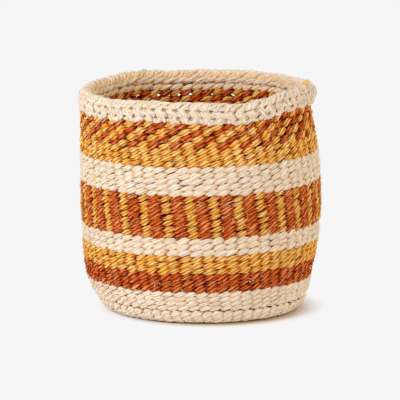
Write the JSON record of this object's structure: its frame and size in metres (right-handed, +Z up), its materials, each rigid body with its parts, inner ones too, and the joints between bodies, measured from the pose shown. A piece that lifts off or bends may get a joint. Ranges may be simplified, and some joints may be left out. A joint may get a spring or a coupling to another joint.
{
  "type": "round woven storage basket",
  "caption": "Round open basket twined from sisal yarn, with a flat base, a softly bellied wall in coloured bands and a thick plaited rim.",
  "frame": {"origin": "bottom centre of the basket, on the surface that it stands on", "axes": "+Z up through the mouth, -Y towards the front, +X to the right seen from the front"},
  "size_m": [0.201, 0.1992, 0.1929],
  "materials": {
    "natural_sisal": "undyed twisted sisal yarn, matt with fine fibre streaks",
    "ochre_sisal": "ochre dyed twisted sisal yarn, matt with a slight sheen on the fibres",
    "rust_sisal": "rust red dyed twisted sisal yarn, matt with a slight sheen on the fibres",
    "warp_sisal": "undyed sisal cord inside the wall"
  },
  "bodies": {
    "root": {"warp_spokes": "warp_sisal", "base_centre_under": "natural_sisal", "base_centre_upper": "natural_sisal", "base_weft_under": "natural_sisal", "base_weft_upper": "natural_sisal", "heel_natural_outer": "natural_sisal", "heel_natural_inner": "natural_sisal", "foot_natural_outer": "natural_sisal", "foot_natural_inner": "natural_sisal", "low_rust_outer": "rust_sisal", "low_rust_inner": "rust_sisal", "low_ochre_outer": "ochre_sisal", "low_ochre_inner": "ochre_sisal", "middle_natural_outer": "natural_sisal", "middle_natural_inner": "natural_sisal", "stripe_ochre": "ochre_sisal", "stripe_rust": "rust_sisal", "upper_natural_outer": "natural_sisal", "upper_natural_inner": "natural_sisal", "high_ochre_outer": "ochre_sisal", "high_ochre_inner": "ochre_sisal", "checker_ochre": "ochre_sisal", "checker_rust": "rust_sisal", "seat_natural_outer": "natural_sisal", "seat_natural_inner": "natural_sisal", "rim_plait": "natural_sisal", "rim_join": "natural_sisal", "ochre_yarn_end": "ochre_sisal"}
  },
  "joints": []
}
